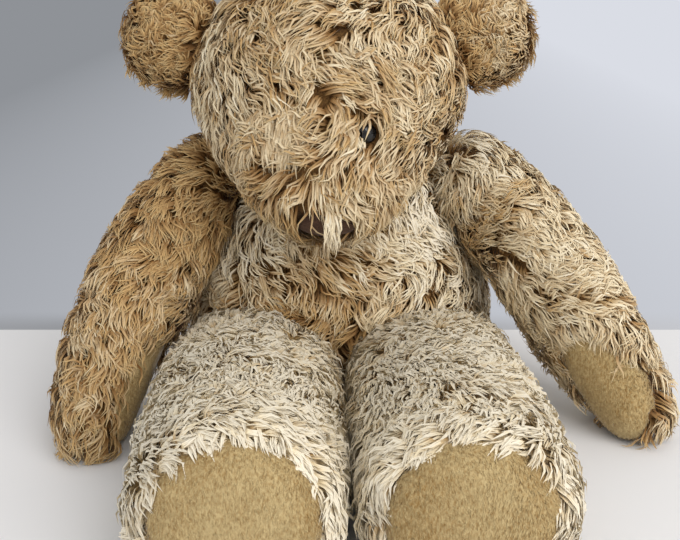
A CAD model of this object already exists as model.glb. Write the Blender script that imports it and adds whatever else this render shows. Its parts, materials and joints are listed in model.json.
"""The looks of a threadbare teddy bear: long-pile plush over a stuffed body,
short-pile soles and palms, a velour nose and black plastic eyes."""

import json
import math

import bpy
import numpy as np
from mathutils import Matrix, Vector
from mathutils.bvhtree import BVHTree

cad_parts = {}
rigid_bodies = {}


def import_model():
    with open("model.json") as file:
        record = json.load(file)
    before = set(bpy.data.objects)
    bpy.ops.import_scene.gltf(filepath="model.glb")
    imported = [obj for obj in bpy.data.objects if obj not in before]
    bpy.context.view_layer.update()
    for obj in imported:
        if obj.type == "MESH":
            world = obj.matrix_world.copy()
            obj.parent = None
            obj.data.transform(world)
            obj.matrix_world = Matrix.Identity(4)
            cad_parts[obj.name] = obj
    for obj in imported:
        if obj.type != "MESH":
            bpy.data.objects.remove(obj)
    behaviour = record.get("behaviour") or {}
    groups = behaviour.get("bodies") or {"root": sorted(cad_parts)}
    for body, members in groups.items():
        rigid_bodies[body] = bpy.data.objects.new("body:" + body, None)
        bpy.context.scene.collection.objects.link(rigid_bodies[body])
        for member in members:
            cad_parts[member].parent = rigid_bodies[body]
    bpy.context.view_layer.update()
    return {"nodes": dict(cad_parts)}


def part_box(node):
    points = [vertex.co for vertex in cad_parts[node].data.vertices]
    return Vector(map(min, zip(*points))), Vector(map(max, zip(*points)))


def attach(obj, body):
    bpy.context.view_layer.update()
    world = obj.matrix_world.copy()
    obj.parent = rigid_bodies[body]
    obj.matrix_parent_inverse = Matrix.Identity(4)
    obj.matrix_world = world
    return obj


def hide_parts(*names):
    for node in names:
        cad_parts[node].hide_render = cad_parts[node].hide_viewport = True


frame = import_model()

bl_info = {
    "name": "Threadbare Teddy Bear",
    "version": (1, 0, 0),
    "blender": (4, 5, 0),
    "location": "View3D > Sidebar > Teddy Bear",
    "description": "Dresses the bear's solids in plush, pads, nose and eyes",
    "category": "Object",
}

MM = 0.001

# The camera that gives the photograph's view
CAMERA_PLACE = Vector((0.0, -0.884, 0.41))
CAMERA_TILT = math.radians(71)
CAMERA_LENS = 50
SENSOR_WIDTH = 36

# The lamps, both aimed at the bear's chest
LAMP_AIM = (0, -0.1, 0.15)
KEY_PLACE = (1.9, -2.4, 2.1)
KEY_SIZE = 3.2
KEY_COLOUR = (1, 0.98, 0.96)
FILL_PLACE = (-1.8, -2.8, 1.8)
FILL_SIZE = 4.0
FILL_COLOUR = (0.96, 0.98, 1)

# The floor: its size, where its boards grow dim in front of the bear, how far the
# linen behind it takes to reach its even glow, and how wide its shading is
FLOOR_SIZE = 30
DIM_FROM = -0.9
DIM_TO = -2.0
LINEN_GLOW = 0.06
LINEN_SIDE = 1.2

# The seed, so that every run combs the fur alike
SEED = 5622

# How far from a pad its fringe is short, and from a neighbour the pile is soiled
PAD_REACH = 0.030
CREASE_REACH = 0.030

# How far off a neighbour is looked for, and the least room that a lock grows in
ROOM_REACH = 0.020
LEAST_ROOM = 0.005

# Least height over the table of a lock's middle line, and of its edges
LINE_FLOOR = 0.0008
EDGE_FLOOR = 0.0003

# Locks that lie under the seat aren't made: roots this low that face the table
SEAT_BAND = 0.012
FACES_DOWN = -0.5

# Locks to a clump, the least number of clumps, and the share of locks that strays,
# with how much higher those stand
CLUMP = 12
LEAST_CLUMPS = 60
STRAY_SHARE = 0.07
STRAY_LIFT = 1.35

# How much clumps differ in length and lift, and locks of one clump in length
CLUMP_RANGE = (0.75, 1.15)
LOCK_RANGE = (0.85, 1.1)

# The size of the swirls that the lie of the pile turns in, how far clumps turn
# beside that, and how far a lock strays from its clump's way
SWIRL_SIZE = 0.05
CLUMP_TURN = 0.4
LOCK_TURN = 0.16

# Share of the free room that a lock takes, how far its tip is drawn to the clump's
# middle, and how far it hangs
ROOM_SHARE = 0.85
DRAW_IN = 0.35
TIP_DROOP = 0.003

# How tone differs between clumps, over the body, between low and high locks, and
# from lock to lock, and how much a crease takes from it
CLUMP_TONE = 0.13
BODY_TONE = 0.13
BODY_TONE_SIZE = 0.07
LAYER_TONE = 0.4
LOCK_TONE = 0.08
CREASE_TONE = 0.6

# A ribbon's roll about its line, how much widths differ, and its width on the way
# from root to tip, as places and shares
ROLL = 0.45
WIDTH_RANGE = (0.65, 1.2)
TAPER = ((0, 0.2, 0.6, 0.8), (0.7, 1.0, 0.85, 0.5))

# Shades that the locks come in, from matted brown to clean and pale, and the
# fibres that each lock is painted as
SHADES = 24
FIBRES = 5

# Names of the pieces
SKIN = "plush_{}"
FUR = "pile_{}"

LIMBS = ("arm_left", "arm_right", "leg_left", "leg_right")
EARS = ("ear_left", "ear_right")
PADS = ("sole_left", "sole_right", "palm_left", "palm_right")
FURRED = ("head", "torso") + LIMBS + EARS

# Share of the full depth that the backing lies at, where the pile is shorter
SHALLOW = {"ear_left": 0.6, "ear_right": 0.6, "leg_left": 0.4, "leg_right": 0.4}

# Grid that a piece's form is remeshed on
SKIN_GRID = 0.007
EAR_GRID = 0.004
PAD_GRID = 0.003

# Fibres of the nap, how far their roots are sunk, and the way that it is brushed
SOLE_FIBRES = 8000
PALM_FIBRES = 3500
NAP_SUNK = 0.0006
NAP_WAY = (0.0, -0.2, -1.0)


def linear(hex_colour):
    """An sRGB hex colour as the linear RGBA that Blender's sockets take."""
    channels = [int(hex_colour[i : i + 2], 16) / 255 for i in (1, 3, 5)]
    curved = [
        c / 12.92 if c <= 0.04045 else ((c + 0.055) / 1.055) ** 2.4 for c in channels
    ]
    return (*curved, 1.0)


def colour_setting(name, hex_colour, about):
    return bpy.props.FloatVectorProperty(
        name=name,
        description=about,
        subtype="COLOR",
        size=4,
        min=0,
        max=1,
        default=linear(hex_colour),
    )


def length_setting(name, metres, about):
    return bpy.props.FloatProperty(
        name=name,
        description=about,
        default=metres,
        min=0,
        precision=4,
        unit="LENGTH",
        subtype="DISTANCE",
    )


class PlushSettings(bpy.types.PropertyGroup):
    """Sizes and colours of the long-pile plush."""

    pile_length: length_setting("Pile length", 0.025, "A lock's length, root to tip")
    pile_height: length_setting("Pile height", 0.013, "How far the pile stands off")
    lock_width: length_setting("Lock width", 0.0021, "Width of one lock of fibres")
    wave: length_setting("Wave", 0.0036, "Sideways swing of a wavy lock")
    inset: length_setting("Skin depth", 0.007, "How deep the backing cloth lies")
    fringe: length_setting("Fringe", 0.006, "How far the pile hangs over a pad's edge")
    root_colour: colour_setting("Roots", "#5a3b1c", "Soiled brown roots")
    worn_colour: colour_setting("Matted", "#946835", "Matted, soiled locks")
    tan_colour: colour_setting("Lock", "#c9a46c", "Tan middle of a lock")
    faded_colour: colour_setting("Faded", "#ddc797", "Tips of the matted locks")
    tip_colour: colour_setting("Tips", "#eedebc", "Cream tips")
    pale_root_colour: colour_setting("Pale roots", "#e2c896", "Roots of the palest locks")
    pale_colour: colour_setting("Pale locks", "#f8eed8", "The palest locks, on the legs")
    backing_colour: colour_setting("Backing", "#85602f", "Knitted backing cloth")
    clean_backing_colour: colour_setting("Clean backing", "#ecdcba", "Backing of the legs")


class PadSettings(bpy.types.PropertyGroup):
    """Colours of the soles and palms."""

    honey_colour: colour_setting("Honey", "#8c6b35", "Golden grain of the nap")
    cream_colour: colour_setting("Cream", "#c2ac7c", "Paler grain of the nap")
    grain: length_setting("Grain", 0.0016, "Spacing of the tufts of the nap")
    nap_length: length_setting("Nap", 0.0034, "A fibre of the nap, root to tip")


class FaceSettings(bpy.types.PropertyGroup):
    """Colours of the nose and eyes."""

    nose_colour: colour_setting("Nose", "#5c4030", "Dark brown velour")
    eye_colour: colour_setting("Eyes", "#0b0a0a", "Black moulded plastic")
    washer_colour: colour_setting("Washers", "#d8d4c8", "Natural nylon")


class StageSettings(bpy.types.PropertyGroup):
    """Floor, backdrop and lamps."""

    floor_colour: colour_setting("Floor", "#e9e9eb", "White boards")
    floor_dim: colour_setting("Floor far off", "#9b9b9d", "Boards well in front of the bear")
    backdrop_colour: colour_setting("Backdrop", "#dadde5", "Pale blue-grey linen")
    table_edge: length_setting("Table edge", 0.10, "Where the boards end behind the bear")
    shade_colour: colour_setting("Backdrop shade", "#8f9297", "Linen away from the lamp")
    key_power: bpy.props.FloatProperty(
        name="Key lamp", description="Soft lamp at the right", default=88, min=0
    )
    fill_power: bpy.props.FloatProperty(
        name="Fill lamp", description="Soft lamp at the left", default=15, min=0
    )
    sky_strength: bpy.props.FloatProperty(
        name="Room light", description="Even light from all round", default=0.75, min=0
    )


# Small helpers


def add_node(tree, kind, links=None, **settings):
    """Adds a node, sets its properties and inputs, and links what feeds it."""
    node = tree.nodes.new(kind)
    for name, value in settings.items():
        if hasattr(node, name):
            setattr(node, name, value)
        else:
            node.inputs[name.replace("_", " ")].default_value = value
    for name, source in (links or {}).items():
        tree.links.new(source, node.inputs[name])
    return node


def new_material(name):
    material = bpy.data.materials.new(name)
    material.use_nodes = True
    material.node_tree.nodes.clear()
    return material, material.node_tree


def add_surface(tree, links, **settings):
    """The shader and output, with constants on the shader's own sockets."""
    shader = add_node(tree, "ShaderNodeBsdfPrincipled", links)
    for name, value in settings.items():
        shader.inputs[name.replace("_", " ")].default_value = value
    output = add_node(tree, "ShaderNodeOutputMaterial")
    tree.links.new(shader.outputs["BSDF"], output.inputs["Surface"])
    return shader


def set_stops(ramp, stops):
    """Gives a colour ramp its stops, a list of (place, colour)."""
    elements = ramp.color_ramp.elements
    elements[0].position, elements[0].color = stops[0]
    elements[1].position, elements[1].color = stops[-1]
    for place, colour in stops[1:-1]:
        element = elements.new(place)
        element.color = colour


def deselect_all():
    for thing in bpy.context.selected_objects:
        thing.select_set(False)


def make_active(piece):
    deselect_all()
    piece.select_set(True)
    bpy.context.view_layer.objects.active = piece


def apply_modifier(piece, name, kind, **settings):
    """Adds a modifier with its settings and applies it."""
    modifier = piece.modifiers.new(name, kind)
    for key, value in settings.items():
        setattr(modifier, key, value)
    make_active(piece)
    bpy.ops.object.modifier_apply(modifier=modifier.name)


def copy_of_node(node, name):
    """A CAD node's mesh as a new object, its loose triangles joined up."""
    mesh = frame["nodes"][node].data.copy()
    mesh.name = name
    mesh.materials.clear()
    piece = bpy.data.objects.new(name, mesh)
    bpy.context.scene.collection.objects.link(piece)
    apply_modifier(piece, "Join", "WELD", merge_threshold=1e-5)
    return piece


def points_of(piece):
    """A mesh's points and their normals."""
    mesh = piece.data
    points = np.empty(len(mesh.vertices) * 3)
    normals = np.empty(len(mesh.vertices) * 3)
    mesh.vertices.foreach_get("co", points)
    mesh.vertices.foreach_get("normal", normals)
    return points.reshape(-1, 3), normals.reshape(-1, 3)


def tree_of(piece):
    return BVHTree.FromObject(piece, bpy.context.evaluated_depsgraph_get())


def joined_tree(pieces):
    """One search tree over several pieces."""
    points, faces = [], []
    for piece in pieces:
        start = len(points)
        points += [v.co.copy() for v in piece.data.vertices]
        faces += [[start + i for i in f.vertices] for f in piece.data.polygons]
    return BVHTree.FromPolygons(points, faces)


def middle_of(node):
    low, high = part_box(node)
    return np.array((low + high) / 2)


def unit(vectors):
    lengths = np.linalg.norm(vectors, axis=-1, keepdims=True)
    return vectors / np.maximum(lengths, 1e-12)


def flat_on(vectors, normals):
    """Vectors laid flat on the surface that the normals stand on."""
    return unit(vectors - normals * (vectors * normals).sum(-1, keepdims=True))


def hills(points, size, seed):
    """A smooth field, mostly between -1 and 1, with hills about `size` across."""
    rng = np.random.default_rng(seed)
    waves = unit(rng.normal(size=(7, 3))) * (math.pi / size) * rng.uniform(0.7, 1.4, (7, 1))
    starts = rng.uniform(0, math.tau, 7)
    return np.sin(points @ waves.T + starts).sum(1) / math.sqrt(7 / 2) * 0.7


# Materials


def long_pile_material(settings):
    """Acrylic long-pile plush: brown roots, tan locks and cream tips, each lock a
    bundle of fine fibres. The map called pile runs from root to tip in X. In Y it
    holds the shades side by side, each as wide as a lock."""
    material, tree = new_material("acrylic_long_pile")
    along = add_node(tree, "ShaderNodeUVMap", uv_map="pile")
    split = add_node(tree, "ShaderNodeSeparateXYZ", {"Vector": along.outputs["UV"]})
    matted = [
        (0.0, settings.root_colour),
        (0.35, settings.worn_colour),
        (0.75, settings.tan_colour),
        (1.0, settings.faded_colour),
    ]
    tan = [
        (0.0, settings.worn_colour),
        (0.25, settings.tan_colour),
        (0.6, settings.tip_colour),
    ]
    pale = [
        (0.0, settings.pale_root_colour),
        (0.3, settings.tip_colour),
        (0.6, settings.pale_colour),
    ]
    # The shades over which each ramp takes the place of the one before it
    blends = ((matted, 0, 1), (tan, 0, 0.6), (pale, 0.6, 1.0))
    colour = None
    for stops, low, high in blends:
        ramp = add_node(tree, "ShaderNodeValToRGB", {"Fac": split.outputs["X"]})
        set_stops(ramp, stops)
        if colour is None:
            colour = ramp.outputs["Color"]
            continue
        share = add_node(
            tree,
            "ShaderNodeMapRange",
            {"Value": split.outputs["Y"]},
            From_Min=low,
            From_Max=high,
        )
        mixed = add_node(tree, "ShaderNodeMix", data_type="RGBA")
        tree.links.new(share.outputs["Result"], mixed.inputs["Factor"])
        tree.links.new(colour, mixed.inputs["A"])
        tree.links.new(ramp.outputs["Color"], mixed.inputs["B"])
        colour = mixed.outputs["Result"]
    # The fibres of a lock: noise that is stretched along it
    fibres = add_node(
        tree,
        "ShaderNodeMapping",
        {"Vector": along.outputs["UV"]},
        Scale=(1.6, SHADES * FIBRES, 1.0),
    )
    streaks = add_node(
        tree, "ShaderNodeTexNoise", {"Vector": fibres.outputs["Vector"]}, Scale=1.0, Detail=1.0
    )
    depth = add_node(
        tree,
        "ShaderNodeMapRange",
        {"Value": streaks.outputs["Fac"]},
        From_Min=0.3,
        From_Max=0.65,
        To_Min=0.62,
        To_Max=1.08,
    )
    shaded = add_node(tree, "ShaderNodeVectorMath", operation="SCALE")
    tree.links.new(colour, shaded.inputs[0])
    tree.links.new(depth.outputs["Result"], shaded.inputs["Scale"])
    add_surface(
        tree,
        {"Base Color": shaded.outputs["Vector"]},
        Roughness=0.6,
        Sheen_Weight=0.08,
        Sheen_Roughness=0.5,
        Specular_IOR_Level=0.22,
    )
    return material


def backing_material(name, dark, colour):
    """Knitted polyester backing of the plush: fine stitches, darker in between."""
    material, tree = new_material(name)
    place = add_node(tree, "ShaderNodeTexCoord")
    knit = add_node(
        tree,
        "ShaderNodeTexNoise",
        {"Vector": place.outputs["Object"]},
        Scale=1 / (1.5 * MM),
        Detail=3.0,
    )
    ramp = add_node(tree, "ShaderNodeValToRGB", {"Fac": knit.outputs["Fac"]})
    set_stops(ramp, [(0.25, dark), (0.6, colour)])
    bump = add_node(
        tree,
        "ShaderNodeBump",
        {"Height": knit.outputs["Fac"]},
        Strength=0.5,
        Distance=0.6 * MM,
    )
    add_surface(
        tree,
        {"Base Color": ramp.outputs["Color"], "Normal": bump.outputs["Normal"]},
        Roughness=0.9,
        Sheen_Weight=0.2,
    )
    return material


def short_pile_material(settings):
    """Brushed short-pile plush: a fine directional nap that flecks gold and cream."""
    material, tree = new_material("brushed_short_pile")
    place = add_node(tree, "ShaderNodeTexCoord")
    comb = add_node(
        tree,
        "ShaderNodeMapping",
        {"Vector": place.outputs["Object"]},
        Scale=(1.0, 1.0, 0.45),
    )
    nap = add_node(
        tree,
        "ShaderNodeTexNoise",
        {"Vector": comb.outputs["Vector"]},
        Scale=1 / settings.grain,
        Detail=3.0,
        Roughness=0.65,
    )
    patches = add_node(
        tree,
        "ShaderNodeTexNoise",
        {"Vector": place.outputs["Object"]},
        Scale=1 / (45 * MM),
        Detail=2.0,
    )
    both = add_node(
        tree,
        "ShaderNodeMath",
        operation="MULTIPLY_ADD",
        links={0: patches.outputs["Fac"], 2: nap.outputs["Fac"]},
    )
    both.inputs[1].default_value = 0.45
    ramp = add_node(tree, "ShaderNodeValToRGB", {"Fac": both.outputs["Value"]})
    set_stops(ramp, [(0.48, settings.honey_colour), (0.9, settings.cream_colour)])
    bump = add_node(
        tree,
        "ShaderNodeBump",
        {"Height": nap.outputs["Fac"]},
        Strength=0.6,
        Distance=0.9 * MM,
    )
    add_surface(
        tree,
        {"Base Color": ramp.outputs["Color"], "Normal": bump.outputs["Normal"]},
        Roughness=0.85,
        Sheen_Weight=0.35,
        Sheen_Roughness=0.4,
    )
    return material


def velour_material(settings):
    """Nose velour: very short dense nap, dark brown with a soft dusty sheen."""
    material, tree = new_material("nose_velour")
    place = add_node(tree, "ShaderNodeTexCoord")
    nap = add_node(
        tree,
        "ShaderNodeTexNoise",
        {"Vector": place.outputs["Object"]},
        Scale=1 / (1.2 * MM),
        Detail=3.0,
    )
    ramp = add_node(tree, "ShaderNodeValToRGB", {"Fac": nap.outputs["Fac"]})
    dark = [c * 0.55 for c in settings.nose_colour[:3]] + [1.0]
    set_stops(ramp, [(0.3, dark), (0.75, settings.nose_colour)])
    bump = add_node(
        tree,
        "ShaderNodeBump",
        {"Height": nap.outputs["Fac"]},
        Strength=0.4,
        Distance=0.3 * MM,
    )
    add_surface(
        tree,
        {"Base Color": ramp.outputs["Color"], "Normal": bump.outputs["Normal"]},
        Roughness=0.9,
        Sheen_Weight=0.12,
        Sheen_Roughness=0.35,
    )
    return material


def eye_material(settings):
    """Injection-moulded black plastic: glossy, with faint handling scratches."""
    material, tree = new_material("moulded_black_plastic")
    place = add_node(tree, "ShaderNodeTexCoord")
    scuffs = add_node(
        tree,
        "ShaderNodeTexNoise",
        {"Vector": place.outputs["Object"]},
        Scale=1 / (3 * MM),
        Detail=6.0,
    )
    dull = add_node(
        tree, "ShaderNodeMapRange", {"Value": scuffs.outputs["Fac"]}, From_Min=0.45
    )
    dull.inputs["To Min"].default_value = 0.08
    dull.inputs["To Max"].default_value = 0.3
    tint = add_node(tree, "ShaderNodeValToRGB", {"Fac": scuffs.outputs["Fac"]})
    dust = [c + 0.012 for c in settings.eye_colour[:3]] + [1.0]
    set_stops(tint, [(0.4, settings.eye_colour), (0.9, dust)])
    add_surface(
        tree,
        {"Base Color": tint.outputs["Color"], "Roughness": dull.outputs["Result"]},
        IOR=1.49,
    )
    return material


def washer_material(settings):
    """Natural nylon lock washers: waxy, slightly yellowed."""
    material, tree = new_material("natural_nylon")
    place = add_node(tree, "ShaderNodeTexCoord")
    cloud = add_node(
        tree,
        "ShaderNodeTexNoise",
        {"Vector": place.outputs["Object"]},
        Scale=1 / (4 * MM),
        Detail=2.0,
    )
    yellowed = [c * k for c, k in zip(settings.washer_colour[:3], (0.9, 0.85, 0.7))]
    ramp = add_node(tree, "ShaderNodeValToRGB", {"Fac": cloud.outputs["Fac"]})
    set_stops(ramp, [(0.3, yellowed + [1.0]), (0.8, settings.washer_colour)])
    add_surface(tree, {"Base Color": ramp.outputs["Color"]}, Roughness=0.4, IOR=1.53)
    return material


# The stuffed bodies under the pile


def stuffed_skin(node, settings):
    """The backing cloth of one stuffed piece: the node's form with its tufts
    smoothed away, drawn in by the depth of the pile."""
    piece = copy_of_node(node, SKIN.format(node))
    thin = node in EARS
    grid = EAR_GRID if thin else SKIN_GRID
    apply_modifier(piece, "Even", "REMESH", mode="VOXEL", voxel_size=grid)
    rounds = 4 if thin else 12
    apply_modifier(piece, "Smooth", "SMOOTH", factor=0.5, iterations=rounds)
    inset = settings.inset * SHALLOW.get(node, 1.0)
    apply_modifier(piece, "Draw in", "DISPLACE", mid_level=0, strength=-inset)
    apply_modifier(piece, "Relax", "SMOOTH", factor=0.5, iterations=3)
    piece.data.shade_smooth()
    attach(piece, "root")
    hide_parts(node)
    return piece


# The pile


class Comb:
    """How one piece's pile is combed: away from a parting and downwards.

    Length, height, width and wave are shares of the plush's own. Down is how much
    the pile hangs and swirl how much it turns about. Soft is how far the locks take
    the body's light and layers how much their heights differ. Tone is how pale they
    are and rings how many sections each has. Pad middle is how far out the middle of
    the pad lies. Soil is a list of places, each with a spread and a change of tone."""

    def __init__(self, locks, parting, **changes):
        self.locks = locks
        self.parting = np.array(parting)
        self.down = 0.5
        self.swirl = 1.0
        self.length = 1.0
        self.height = 1.0
        self.width = 1.0
        self.wave = 1.0
        self.soft = 0.4
        self.layers = 0.4
        self.pad_middle = None
        self.tone = 0.45
        self.rings = 6
        self.soil = []
        for name, value in changes.items():
            setattr(self, name, value)


def combs():
    """The comb of each furred node, its parting and soil placed from the solids."""
    nose = middle_of("nose")
    brow = (middle_of("eye_left") + middle_of("eye_right")) / 2
    torso = middle_of("torso")
    torso_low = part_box("torso")[0]
    belly = np.array((0.0, torso_low.y, 0.10))
    plan = {}
    crown = np.array((nose[0], brow[1] + 0.13, brow[2] + 0.12))
    plan["head"] = Comb(
        21500, crown, swirl=1.3, tone=0.2, height=1.15,
        soil=[(nose + (0, 0, -0.02), 0.03, -0.35)],
    )
    plan["torso"] = Comb(
        16500, torso + (0.02, -0.02, 0.13), swirl=1.2, tone=0.45, height=1.35,
        soil=[
            (belly, 0.07, -0.45),
            (belly + (0.10, 0.02, 0.07), 0.07, 0.45),
            (belly + (-0.09, 0.03, 0.08), 0.06, -0.12),
            (nose + (0, 0.02, -0.03), 0.04, -0.3),
        ],
    )
    for side, sign in (("left", 1), ("right", -1)):
        arm_low, arm_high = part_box("arm_" + side)
        inner, outer = (arm_low.x, arm_high.x)[::sign]
        shoulder = np.array((inner, arm_high.y - 0.05, arm_high.z - 0.03))
        hand = np.array((outer, arm_low.y, 0.05))
        # The bear's right side is the more soiled
        shade = 0.0 if side == "left" else -0.32
        plan["arm_" + side] = Comb(
            12200, shoulder, down=0.2, swirl=1.0, tone=0.38 + shade, height=1.2,
            soil=[
                (shoulder + (sign * 0.02, -0.06, -0.05), 0.05, -0.25),
                (shoulder + (sign * 0.05, -0.03, 0.03), 0.07, 0.35 + 2 * shade),
                (hand, 0.10, -0.14),
            ],
        )
        thigh = middle_of("leg_" + side) + (0, 0.07, 0.10)
        plan["leg_" + side] = Comb(
            22000, thigh, down=0.1, swirl=1.5, tone=1.0, rings=4,
            length=0.78, height=0.75, width=1.4, wave=0.6, soft=0.9, layers=0.2,
            soil=[(np.array((0.02, torso_low.y - 0.07, 0.09)), 0.065, -0.4)],
            pad_middle=abs(middle_of("sole_" + side)[0]),
        )
        ear_low, ear_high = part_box("ear_" + side)
        inner = ear_low.x if side == "left" else ear_high.x
        root = np.array((inner, ear_high.y, ear_low.z))
        plan["ear_" + side] = Comb(
            4500, root, down=0.2, length=0.75, height=0.75, tone=0.22 + shade, rings=5,
            soil=[(root + (0, -0.03, 0.03), 0.04, -0.5)],
        )
    return plan


def scatter(piece, count, rng):
    """Even random points over a mesh, with the surface's smooth normals there."""
    mesh = piece.data
    mesh.calc_loop_triangles()
    corners = np.empty(len(mesh.loop_triangles) * 3, np.int32)
    mesh.loop_triangles.foreach_get("vertices", corners)
    corners = corners.reshape(-1, 3)
    points, normals = points_of(piece)
    a, b, c = (points[corners[:, i]] for i in range(3))
    areas = np.linalg.norm(np.cross(b - a, c - a), axis=1)
    chosen = rng.choice(len(corners), count, p=areas / areas.sum())
    u, v = rng.random(count), rng.random(count)
    over = u + v > 1
    u[over], v[over] = 1 - u[over], 1 - v[over]
    shares = np.stack((1 - u - v, u, v), 1)[..., None]
    places = (points[corners[chosen]] * shares).sum(1)
    ups = unit((normals[corners[chosen]] * shares).sum(1))
    return places, ups


def nearest(points, centres):
    """Index of each point's nearest centre."""
    found = np.empty(len(points), np.int64)
    step = 2000
    for start in range(0, len(points), step):
        part = points[start : start + step]
        gaps = ((part[:, None, :] - centres[None]) ** 2).sum(2)
        found[start : start + step] = gaps.argmin(1)
    return found


def open_room(places, ups, tree, reach):
    """The free height over each root, up to `reach`, before a neighbour is met."""
    room = np.full(len(places), reach)
    for i, (place, up) in enumerate(zip(places, ups)):
        hit = tree.ray_cast(Vector(place), Vector(up), reach)
        if hit[0] is not None:
            room[i] = hit[3]
    return room


def nearest_on(places, tree, reach):
    """Each place's nearest point on a surface, and how far off it is, up to `reach`."""
    spots = places.copy()
    gaps = np.full(len(places), reach)
    for i, place in enumerate(places):
        found = tree.find_nearest(Vector(place), reach)
        if found[0] is not None:
            spots[i] = found[0]
            gaps[i] = found[3]
    return spots, gaps


def lock_paths(places, ups, room, comb, settings, pads, rng):
    """The middle line of every lock, and how much browner or paler it is than the next.

    Locks of one clump lean the same way, swing together and draw in at the tips."""
    count = len(places)
    centres = rng.choice(count, max(count // CLUMP, LEAST_CLUMPS), replace=False)
    clump = nearest(places, places[centres])
    home, home_up = places[centres], ups[centres]

    away = unit(home - comb.parting)
    comb_way = flat_on(away + np.array((0, 0, -comb.down)), home_up)
    side_way = np.cross(home_up, comb_way)
    turn = comb.swirl * hills(home, SWIRL_SIZE, SEED + 1)
    turn += rng.normal(0, CLUMP_TURN, len(home))
    lean = comb_way * np.cos(turn)[:, None] + side_way * np.sin(turn)[:, None]

    ways = lean[clump] + rng.normal(0, LOCK_TURN, (count, 3))
    ways = flat_on(ways, ups)
    sides = np.cross(ups, ways)

    layer = rng.random(count)
    stretch = rng.uniform(*CLUMP_RANGE, len(home))[clump] * rng.uniform(*LOCK_RANGE, count)
    length = settings.pile_length * comb.length * stretch
    lift = rng.uniform(*CLUMP_RANGE, len(home))[clump]
    lift = lift * (1.1 - comb.layers * (1 - layer))
    stray = rng.random(count) < STRAY_SHARE
    lift = np.where(stray, lift * STRAY_LIFT, lift)
    height = np.minimum(settings.pile_height * comb.height * lift, room * ROOM_SHARE)

    # The fringe round a pad ends just over its edge
    spots, gaps = nearest_on(places, pads, PAD_REACH)
    toward = ((spots - places) * ways).sum(1) / np.maximum(gaps, 1e-6)
    over = (gaps < PAD_REACH) & (toward > 0.1)
    overhang = settings.fringe
    if comb.pad_middle is not None:
        outer = np.clip((np.abs(places[:, 0]) - comb.pad_middle) / 0.04, -0.8, 1)
        overhang = overhang * (1 + outer)
    fringe = (gaps + overhang) / np.maximum(toward, 0.1)
    length = np.where(over, np.minimum(length, fringe), length)
    height = np.where(over, np.minimum(height, settings.fringe + gaps * 0.5), height)

    phase = rng.uniform(0, math.tau, len(home))[clump] + rng.normal(0, 0.6, count)
    swing = comb.wave * settings.wave * rng.uniform(0.4, 1.2, len(home))[clump]
    cycles = rng.uniform(0.7, 1.3, len(home))[clump]
    bend = rng.normal(0, 0.5, len(home))[clump] + rng.normal(0, 0.2, count)

    drift = places - home[clump]
    paths = np.empty((count, comb.rings, 3))
    for ring, t in enumerate(np.linspace(0, 1, comb.rings)):
        rise = height * math.sin(min(t * 1.25, 1.0) * math.pi / 2) * (1 - 0.3 * t * t)
        run = length * t * (0.6 + 0.35 * t)
        wave = swing * (np.sin(phase + math.tau * cycles * t) - np.sin(phase)) * t**0.5
        wave += length * bend * 0.35 * t * t
        spot = places + ups * rise[:, None] + ways * run[:, None] + sides * wave[:, None]
        spot -= drift * (DRAW_IN * t**1.5)
        spot[:, 2] -= TIP_DROOP * t * t
        paths[:, ring] = spot
    tone = rng.normal(0, CLUMP_TONE, len(home))[clump]
    tone = tone + BODY_TONE * hills(places, BODY_TONE_SIZE, SEED + 2)
    tone += LAYER_TONE * (layer - 0.5) + rng.normal(0, LOCK_TONE, count)
    return paths, tone


def tones_of(places, comb, change, gaps):
    """How pale each lock is, from 0 to 1: browner where it is soiled or in a crease."""
    tone = comb.tone + change
    for centre, spread, amount in comb.soil:
        far = ((places - centre) ** 2).sum(1) / spread**2
        tone = tone + amount * np.exp(-far)
    crease = np.clip(1 - gaps / CREASE_REACH, 0, 1)
    return np.clip(tone - CREASE_TONE * crease, 0.0, 0.999)


def ribbons(paths, ups, widths, soft, rng):
    """Flat tapering ribbons along the paths: their points, and the normals that light
    them partly as ribbons and partly as the body that they cover."""
    count, rings, _ = paths.shape
    tangents = unit(np.gradient(paths, axis=1))
    across = unit(np.cross(ups[:, None, :], tangents))
    lifted = np.cross(tangents, across)
    roll = rng.normal(0, ROLL, count)[:, None, None]
    facing = (lifted * np.cos(roll) - across * np.sin(roll)) * (1 - soft)
    facing = unit(facing + ups[:, None, :] * soft)
    across = across * np.cos(roll) + lifted * np.sin(roll)
    profile = np.interp(np.linspace(0, 1, rings), *TAPER)
    edge = across * (widths[:, None, None] / 2 * profile[None, :, None])
    points = np.empty((count, rings * 2 - 1, 3))
    points[:, 0:-1:2] = (paths - edge)[:, :-1]
    points[:, 1:-1:2] = (paths + edge)[:, :-1]
    points[:, -1] = paths[:, -1]
    normals = np.empty_like(points)
    normals[:, 0:-1:2] = facing[:, :-1]
    normals[:, 1:-1:2] = facing[:, :-1]
    normals[:, -1] = facing[:, -1]
    return points, normals


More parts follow.
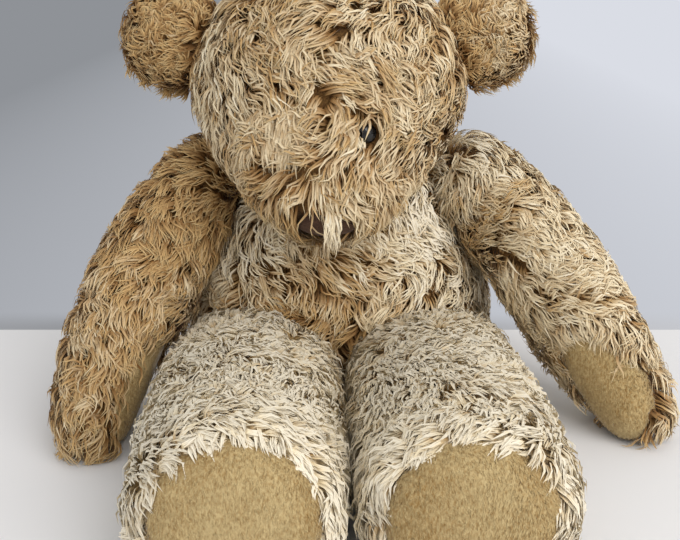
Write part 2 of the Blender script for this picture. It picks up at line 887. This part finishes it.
def mesh_of_ribbons(name, points, normals, tones):
    """One mesh of all the ribbons, with the root-to-tip map that their colour reads."""
    count, per, _ = points.shape
    rings = (per + 1) // 2
    corners = []
    for ring in range(rings - 2):
        a = ring * 2
        corners += [a, a + 2, a + 3, a + 1]
    tip = per - 1
    corners += [tip - 1, tip - 2, tip]
    corners = np.array(corners)
    starts = np.arange(count)[:, None] * per
    loops = (starts + corners[None]).ravel().astype(np.int32)
    sizes = np.tile([4] * (rings - 2) + [3], count)
    mesh = bpy.data.meshes.new(name)
    mesh.vertices.add(count * per)
    mesh.vertices.foreach_set("co", points.astype(np.float32).ravel())
    mesh.loops.add(len(loops))
    mesh.loops.foreach_set("vertex_index", loops)
    mesh.polygons.add(len(sizes))
    first = np.concatenate(([0], np.cumsum(sizes)[:-1])).astype(np.int32)
    mesh.polygons.foreach_set("loop_start", first)
    mesh.update(calc_edges=True)
    along = np.empty(per)
    along[:-1] = np.repeat(np.arange(rings - 1) / (rings - 1), 2)
    along[-1] = 1.0
    sideways = np.empty(per)
    sideways[:-1] = np.tile((-1.0, 1.0), rings - 1)
    sideways[-1] = 0.0
    u = np.tile(along[corners], count)
    # Each ribbon fills most of its shade's band, and stays off the map's edges
    shade = np.floor(tones * SHADES)
    v = ((shade[:, None] + 0.5 + sideways[corners][None] * 0.45) / SHADES).ravel()
    spread = np.stack((u * 0.98 + 0.01, v), 1).astype(np.float32).ravel()
    # The same map twice: one for baking, one for the material
    for title in ("OFBake", "pile"):
        mesh.uv_layers.new(name=title).data.foreach_set("uv", spread)
    mesh.shade_smooth()
    mesh.normals_split_custom_set_from_vertices(normals.reshape(-1, 3))
    return mesh


# Gaps in the pile of the face: the feature that shows there, how far the gap's
# middle is from the feature's, its half width and height, and the share of locks left out
FACE_GAPS = (
    ("nose", (0, 0, -0.003), 0.022, 0.011, 0.95),
    ("eye_left", (0.003, 0, -0.001), 0.0055, 0.0075, 0.98),
)
GAP_DEPTH = 0.012


def crosses_face(paths, rng):
    """Marks the locks that would hang in front of the nose or the open eye."""
    hidden = np.zeros(len(paths), bool)
    for feature, shift, half_width, half_height, share in FACE_GAPS:
        x, y, z = middle_of(feature) + shift
        inside = (
            (np.abs(paths[..., 0] - x) < half_width)
            & (np.abs(paths[..., 2] - z) < half_height)
            & (paths[..., 1] < y + GAP_DEPTH)
        )
        hidden |= inside.any(1) & (rng.random(len(paths)) < share)
    return hidden


def hanging_tuft(skin, node, count, shift, spread, length, tone, settings, rng):
    """Locks that hang in front of a feature of the face, from a line above it. Shift
    is how far to the side of its middle they hang."""
    low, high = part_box(node)
    middle = (low.x + high.x) / 2 + shift
    inwards = Vector((0, 1, -0.2)).normalized()
    places, ups = [], []
    for _ in range(count):
        x = rng.normal(middle, spread)
        z = high.z + rng.uniform(0.004, length * 0.8)
        hit = skin.ray_cast(Vector((x, low.y - 0.03, z)), inwards)
        if hit[0] is not None:
            places.append(hit[0])
            ups.append(hit[1])
    places, ups = np.array(places), np.array(ups)
    lengths = rng.uniform(0.8, 1.15, len(places)) * length
    phase = rng.uniform(0, math.tau, len(places))
    paths = np.empty((len(places), 6, 3))
    for ring, t in enumerate(np.linspace(0, 1, 6)):
        # A lock bows forwards by about half its length before it hangs
        spot = places + np.array((0, -0.47 * length * math.sin(t * math.pi * 0.75), 0))
        spot[:, 2] -= lengths * t
        spot[:, 0] += settings.wave * 0.8 * (np.sin(phase + 5 * t) - np.sin(phase)) * t
        spot[:, 0] += (middle - places[:, 0]) * 0.3 * t
        paths[:, ring] = spot
    return paths, np.clip(rng.normal(tone, 0.1, len(places)), 0, 0.99), ups


# Tufts over the face: which feature, locks, shift, spread, length and shade
TUFTS = (
    ("nose", 46, 0.004, 0.0045, 0.030, 0.72),
    ("eye_left", 26, -0.0072, 0.0025, 0.024, 0.66),
    ("eye_right", 300, -0.004, 0.0080, 0.040, 0.36),
)


def grow_pile(node, comb, settings, others, hard, pads):
    """All the locks of one furred node, as one piece."""
    rng = np.random.default_rng([SEED, *node.encode()])
    skin = bpy.data.objects[SKIN.format(node)]
    wanted = comb.locks
    places, ups = scatter(skin, int(wanted * 1.7), rng)
    lying = (places[:, 2] < SEAT_BAND) & (ups[:, 2] < FACES_DOWN)
    places, ups = places[~lying], ups[~lying]
    room = open_room(places, ups, others, ROOM_REACH)
    clear = open_room(places, ups, hard, ROOM_REACH) >= ROOM_REACH
    keep = (room > LEAST_ROOM) & clear
    places, ups, room = places[keep][:wanted], ups[keep][:wanted], room[keep][:wanted]
    paths, change = lock_paths(places, ups, room, comb, settings, pads, rng)
    tones = tones_of(places, comb, change, nearest_on(places, others, CREASE_REACH)[1])
    seen = ~crosses_face(paths, rng)
    paths, tones, ups = paths[seen], tones[seen], ups[seen]
    if node == "head":
        own = tree_of(skin)
        for feature, *shape in TUFTS:
            tuft = hanging_tuft(own, feature, *shape, settings, rng)
            paths = np.concatenate((paths, tuft[0]))
            tones = np.concatenate((tones, tuft[1]))
            ups = np.concatenate((ups, tuft[2]))
    paths[..., 2] = np.maximum(paths[..., 2], LINE_FLOOR)
    widths = settings.lock_width * comb.width * rng.uniform(*WIDTH_RANGE, len(paths))
    points, normals = ribbons(paths, ups, widths, comb.soft, rng)
    points[..., 2] = np.maximum(points[..., 2], EDGE_FLOOR)
    mesh = mesh_of_ribbons(FUR.format(node), points, normals, tones)
    piece = bpy.data.objects.new(FUR.format(node), mesh)
    bpy.context.scene.collection.objects.link(piece)
    piece.data.materials.append(bpy.data.materials["acrylic_long_pile"])
    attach(piece, "root")
    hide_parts(node)
    return piece


def grow_nap(node, count, settings, skins, material):
    """The brushed nap of one sole or palm: short fibres that all lean one way."""
    rng = np.random.default_rng([SEED, *node.encode()])
    pad = bpy.data.objects[node + "_pad"]
    wanted = count
    places, ups = scatter(pad, wanted * 3, rng)
    outer = open_room(places, ups, skins, ROOM_REACH) >= ROOM_REACH
    places, ups = places[outer][:wanted], ups[outer][:wanted]
    turn = 0.6 * hills(places, 0.03, SEED + 3) + rng.normal(0, 0.25, len(places))
    down = flat_on(np.broadcast_to(NAP_WAY, places.shape), ups)
    ways = down * np.cos(turn)[:, None] + np.cross(ups, down) * np.sin(turn)[:, None]
    length = settings.nap_length * rng.uniform(0.7, 1.2, len(places))
    rise = settings.nap_length * rng.uniform(0.25, 0.5, len(places))
    paths = np.empty((len(places), 3, 3))
    for ring, t in enumerate((0.0, 0.5, 1.0)):
        lifted = ups * (rise * math.sin(t * math.pi / 2) - NAP_SUNK)[:, None]
        paths[:, ring] = places + lifted + ways * (length * t)[:, None]
    paths[..., 2] = np.maximum(paths[..., 2], LINE_FLOOR)
    widths = settings.nap_length * 0.3 * rng.uniform(0.7, 1.2, len(places))
    points, normals = ribbons(paths, ups, widths, 0.7, rng)
    points[..., 2] = np.maximum(points[..., 2], EDGE_FLOOR)
    tones = np.clip(rng.normal(0.5, 0.2, len(places)), 0, 0.99)
    mesh = mesh_of_ribbons("nap_" + node, points, normals, tones)
    piece = bpy.data.objects.new("nap_" + node, mesh)
    bpy.context.scene.collection.objects.link(piece)
    piece.data.materials.append(material)
    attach(piece, "root")
    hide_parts(node)
    return piece


class TEDDY_OT_skins(bpy.types.Operator):
    """Sew the stuffed bodies of knitted backing cloth"""

    bl_idname = "teddy.skins"
    bl_label = "Stuffed Bodies"

    def execute(self, context):
        settings = context.scene.teddy_plush
        soiled = backing_material(
            "knit_backing_soiled", settings.root_colour, settings.backing_colour
        )
        clean = backing_material(
            "knit_backing", settings.pale_root_colour, settings.clean_backing_colour
        )
        for node in FURRED:
            piece = stuffed_skin(node, settings)
            piece.data.materials.append(clean if "leg" in node else soiled)
        return {"FINISHED"}


class TEDDY_OT_pads(bpy.types.Operator):
    """Set the short-pile soles and palms in place"""

    bl_idname = "teddy.pads"
    bl_label = "Soles and Palms"

    def execute(self, context):
        settings = context.scene.teddy_pads
        material = short_pile_material(settings)
        for node in PADS:
            piece = copy_of_node(node, node + "_pad")
            apply_modifier(piece, "Even", "REMESH", mode="VOXEL", voxel_size=PAD_GRID)
            apply_modifier(piece, "Smooth", "SMOOTH", factor=0.5, iterations=4)
            piece.data.shade_smooth()
            piece.data.materials.append(material)
            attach(piece, "root")
            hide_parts(node)
        skins = joined_tree([bpy.data.objects[SKIN.format(node)] for node in FURRED])
        for node in PADS:
            count = SOLE_FIBRES if "sole" in node else PALM_FIBRES
            grow_nap(node, count, settings, skins, material)
        return {"FINISHED"}


class TEDDY_OT_face(bpy.types.Operator):
    """Finish the nose, the eyes and their washers"""

    bl_idname = "teddy.face"
    bl_label = "Nose and Eyes"

    def execute(self, context):
        settings = context.scene.teddy_face
        finishes = {
            "nose": velour_material(settings),
            "eye": eye_material(settings),
            "eye_washer": washer_material(settings),
        }
        for node, piece in frame["nodes"].items():
            kind = node.replace("_left", "").replace("_right", "")
            if kind in finishes:
                piece.data.materials.clear()
                piece.data.materials.append(finishes[kind])
        return {"FINISHED"}


class TEDDY_OT_pile(bpy.types.Operator):
    """Grow and comb the long pile of every furred piece"""

    bl_idname = "teddy.pile"
    bl_label = "Long Pile"

    def execute(self, context):
        settings = context.scene.teddy_plush
        long_pile_material(settings)
        skins = {node: bpy.data.objects[SKIN.format(node)] for node in FURRED}
        pads = [bpy.data.objects[node + "_pad"] for node in PADS]
        face = [frame["nodes"][n] for n in ("nose", "eye_left", "eye_right")]
        pad_tree = joined_tree(pads)
        hard = joined_tree(pads + face)
        for node, comb in combs().items():
            others = joined_tree([skin for other, skin in skins.items() if other != node])
            grow_pile(node, comb, settings, others, hard, pad_tree)
        return {"FINISHED"}


def add_lamp(name, power, place, size, colour):
    lamp = bpy.data.lights.new(name, "AREA")
    lamp.energy = power
    lamp.shape = "DISK"
    lamp.size = size
    lamp.color = colour
    holder = bpy.data.objects.new(name, lamp)
    bpy.context.scene.collection.objects.link(holder)
    holder.location = place
    way = Vector(LAMP_AIM) - Vector(place)
    holder.rotation_euler = way.to_track_quat("-Z", "Y").to_euler()
    return holder


def stage_material(settings):
    """Painted boards in front, pale linen behind the table's edge."""
    material, tree = new_material("boards_and_linen")
    place = add_node(tree, "ShaderNodeTexCoord")
    split = add_node(tree, "ShaderNodeSeparateXYZ", {"Vector": place.outputs["Object"]})
    beyond = add_node(
        tree,
        "ShaderNodeMath",
        operation="GREATER_THAN",
        links={0: split.outputs["Y"]},
    )
    beyond.inputs[1].default_value = settings.table_edge
    mixed = add_node(tree, "ShaderNodeMix", data_type="RGBA")
    tree.links.new(beyond.outputs["Value"], mixed.inputs["Factor"])
    ahead = add_node(tree, "ShaderNodeMapRange", {"Value": split.outputs["Y"]})
    ahead.inputs["From Min"].default_value = DIM_TO
    ahead.inputs["From Max"].default_value = DIM_FROM
    boards = add_node(tree, "ShaderNodeValToRGB", {"Fac": ahead.outputs["Result"]})
    set_stops(boards, [(0.0, settings.floor_dim), (1.0, settings.floor_colour)])
    tree.links.new(boards.outputs["Color"], mixed.inputs["A"])
    across = add_node(tree, "ShaderNodeMapRange", {"Value": split.outputs["X"]})
    across.inputs["From Min"].default_value = -LINEN_SIDE
    across.inputs["From Max"].default_value = LINEN_SIDE
    linen = add_node(tree, "ShaderNodeValToRGB", {"Fac": across.outputs["Result"]})
    set_stops(linen, [(0.1, settings.shade_colour), (0.9, settings.backdrop_colour)])
    tree.links.new(linen.outputs["Color"], mixed.inputs["B"])
    colour = [o for o in mixed.outputs if o.type == "RGBA"][0]
    painted = add_node(tree, "ShaderNodeBsdfDiffuse", {"Color": colour})
    glow = add_node(tree, "ShaderNodeEmission", {"Color": colour})
    eye = add_node(tree, "ShaderNodeLightPath")
    far = add_node(tree, "ShaderNodeMapRange", {"Value": split.outputs["Y"]})
    far.interpolation_type = "SMOOTHSTEP"
    far.inputs["From Min"].default_value = settings.table_edge
    far.inputs["From Max"].default_value = settings.table_edge + LINEN_GLOW
    seen = add_node(
        tree,
        "ShaderNodeMath",
        operation="MULTIPLY",
        links={0: far.outputs["Result"], 1: eye.outputs["Is Camera Ray"]},
    )
    both = add_node(tree, "ShaderNodeMixShader", {"Fac": seen.outputs["Value"]})
    tree.links.new(painted.outputs["BSDF"], both.inputs[1])
    tree.links.new(glow.outputs["Emission"], both.inputs[2])
    output = add_node(tree, "ShaderNodeOutputMaterial")
    tree.links.new(both.outputs["Shader"], output.inputs["Surface"])
    return material


class TEDDY_OT_stage(bpy.types.Operator):
    """Lay the floor and backdrop, and set the lamps and the camera"""

    bl_idname = "teddy.stage"
    bl_label = "Stage"

    def execute(self, context):
        settings = context.scene.teddy_stage
        deselect_all()
        bpy.ops.mesh.primitive_plane_add(size=FLOOR_SIZE, location=(0, 0, 0))
        floor = context.active_object
        floor.name = "floor"
        floor.data.materials.append(stage_material(settings))

        world = bpy.data.worlds.new("soft_room")
        world.use_nodes = True
        room = world.node_tree.nodes["Background"]
        room.inputs["Color"].default_value = linear("#f1f0ee")
        room.inputs["Strength"].default_value = settings.sky_strength
        context.scene.world = world

        add_lamp("key", settings.key_power, KEY_PLACE, KEY_SIZE, KEY_COLOUR)
        add_lamp("fill", settings.fill_power, FILL_PLACE, FILL_SIZE, FILL_COLOUR)

        camera_data = bpy.data.cameras.new("photo_view")
        camera_data.lens = CAMERA_LENS
        camera_data.sensor_width = SENSOR_WIDTH
        camera = bpy.data.objects.new("photo_view", camera_data)
        context.scene.collection.objects.link(camera)
        camera.location = CAMERA_PLACE
        camera.rotation_euler = (CAMERA_TILT, 0, 0)
        context.scene.camera = camera
        context.scene.view_settings.view_transform = "Standard"
        return {"FINISHED"}


class TEDDY_PT_panel(bpy.types.Panel):
    """Lists the steps that dress the bear"""

    bl_idname = "TEDDY_PT_panel"
    bl_label = "Teddy Bear"
    bl_space_type = "VIEW_3D"
    bl_region_type = "UI"
    bl_category = "Teddy Bear"

    def draw(self, context):
        for operator in OPERATORS:
            self.layout.operator(operator.bl_idname)
        for group in GROUPS:
            box = self.layout.box()
            settings = getattr(context.scene, group)
            for name in settings.__annotations__:
                box.prop(settings, name)


OPERATORS = (
    TEDDY_OT_skins,
    TEDDY_OT_pads,
    TEDDY_OT_face,
    TEDDY_OT_pile,
    TEDDY_OT_stage,
)
GROUPS = {
    "teddy_plush": PlushSettings,
    "teddy_pads": PadSettings,
    "teddy_face": FaceSettings,
    "teddy_stage": StageSettings,
}


def register():
    for group, settings in GROUPS.items():
        bpy.utils.register_class(settings)
        setattr(bpy.types.Scene, group, bpy.props.PointerProperty(type=settings))
    for operator in OPERATORS:
        bpy.utils.register_class(operator)
    bpy.utils.register_class(TEDDY_PT_panel)


def unregister():
    bpy.utils.unregister_class(TEDDY_PT_panel)
    for operator in reversed(OPERATORS):
        bpy.utils.unregister_class(operator)
    for group, settings in GROUPS.items():
        delattr(bpy.types.Scene, group)
        bpy.utils.unregister_class(settings)


def main():
    register()
    bpy.ops.teddy.skins()
    bpy.ops.teddy.pads()
    bpy.ops.teddy.face()
    bpy.ops.teddy.pile()
    bpy.ops.teddy.stage()


if __name__ == "__main__":
    main()
